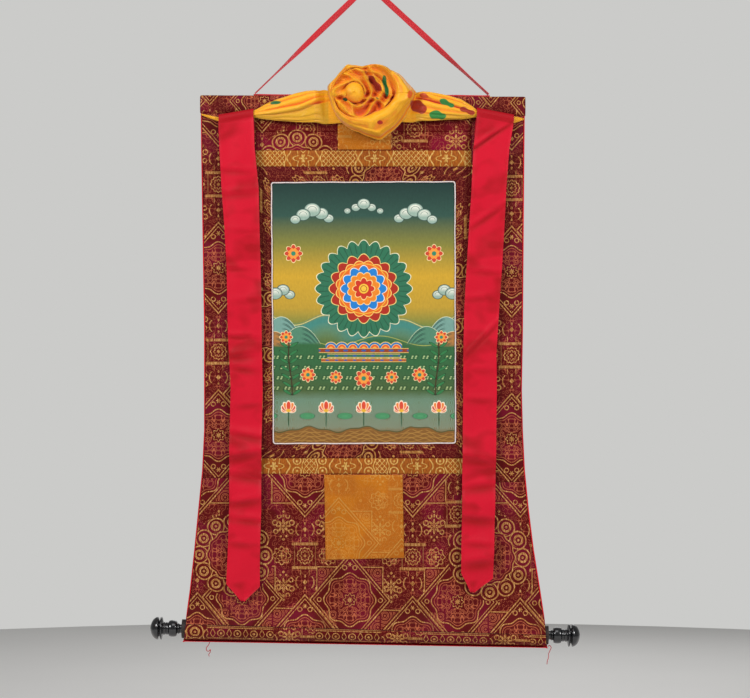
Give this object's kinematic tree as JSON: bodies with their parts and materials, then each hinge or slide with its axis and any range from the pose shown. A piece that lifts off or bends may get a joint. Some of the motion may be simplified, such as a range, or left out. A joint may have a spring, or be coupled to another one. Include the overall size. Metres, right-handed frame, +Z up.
{
  "type": "thangka scroll painting on a roller",
  "caption": "Painted canvas in a maroon and gold brocade mount on a roller with turned knobs, with a drawn-up silk cover, two ribbons and a hanging cord.",
  "frame": {"origin": "top of the hanging cord, where it goes over a nail or hook", "axes": "+Z up, +X to the viewer's right, the cloth faces -Y and its back lies towards the wall at +Y"},
  "size_m": [0.7099, 0.0815, 1.1202],
  "materials": {
    "brocade_maroon": "maroon satin ground with gold brocade pattern",
    "brocade_crimson": "dark red satin ground with gold brocade pattern",
    "brocade_gold": "orange-gold brocade, tone on tone",
    "canvas": "painted cotton canvas, matt mineral colours",
    "piping": "white cotton",
    "lining": "red cotton",
    "satin": "bright red satin",
    "silk": "yellow silk with printed leaves and flowers",
    "cord": "red woven tape and thread",
    "lacquer": "black lacquer on turned wood",
    "wood": "plain wood, inside the hem"
  },
  "bodies": {
    "root": {"top_sleeve": "brocade_maroon", "side_left": "brocade_maroon", "side_right": "brocade_maroon", "bottom_panel": "brocade_maroon", "top_strip_upper": "brocade_crimson", "top_strip_lower": "brocade_crimson", "frame_top": "brocade_crimson", "frame_right": "brocade_crimson", "frame_bottom": "brocade_crimson", "frame_left": "brocade_crimson", "gold_strip_top": "brocade_gold", "gold_strip_bottom": "brocade_gold", "gold_patch_top": "brocade_gold", "gold_patch_bottom": "brocade_gold", "painting": "canvas", "piping": "piping", "lining": "lining", "roller": "wood", "knob_left": "lacquer", "knob_right": "lacquer", "ribbon_left": "satin", "ribbon_right": "satin", "cover_arm_left": "silk", "cover_arm_right": "silk", "cover_rosette": "silk", "hanging_cord": "cord", "cord_along_top": "cord", "thread_left": "cord", "thread_right": "cord"}
  },
  "joints": []
}
